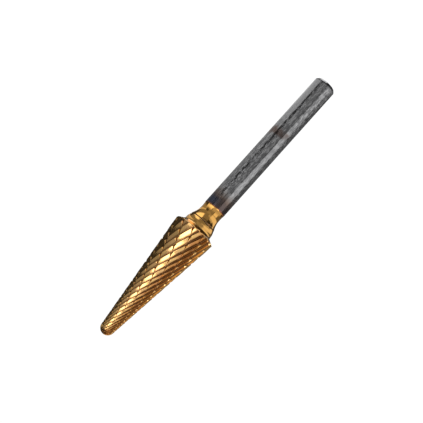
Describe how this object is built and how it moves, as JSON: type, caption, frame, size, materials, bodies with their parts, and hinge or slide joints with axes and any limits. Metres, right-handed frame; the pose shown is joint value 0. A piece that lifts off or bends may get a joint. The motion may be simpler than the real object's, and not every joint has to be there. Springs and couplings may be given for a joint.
{
  "type": "rotary burr",
  "caption": "Cone-shaped rotary burr with a radius end: a gold-coated, cross-cut carbide head brazed to a plain ground steel shank.",
  "frame": {"origin": "centre of the shank's free end face", "axes": "+Z along the tool's axis towards the cutting tip; X and Y across it"},
  "size_m": [0.0116, 0.0116, 0.085],
  "materials": {
    "coated_carbide": "titanium nitride coating, gold, polished as ground",
    "silver_braze": "brazed silver alloy, dull",
    "copper_shim": "copper, darkened by heat",
    "ground_steel": "ground lengthways, gold-coated neck, heat tint beside it"
  },
  "bodies": {
    "root": {"carbide_head": "coated_carbide", "braze_layer_head_side": "silver_braze", "braze_copper_core": "copper_shim", "braze_layer_shank_side": "silver_braze", "shank": "ground_steel"}
  },
  "joints": []
}
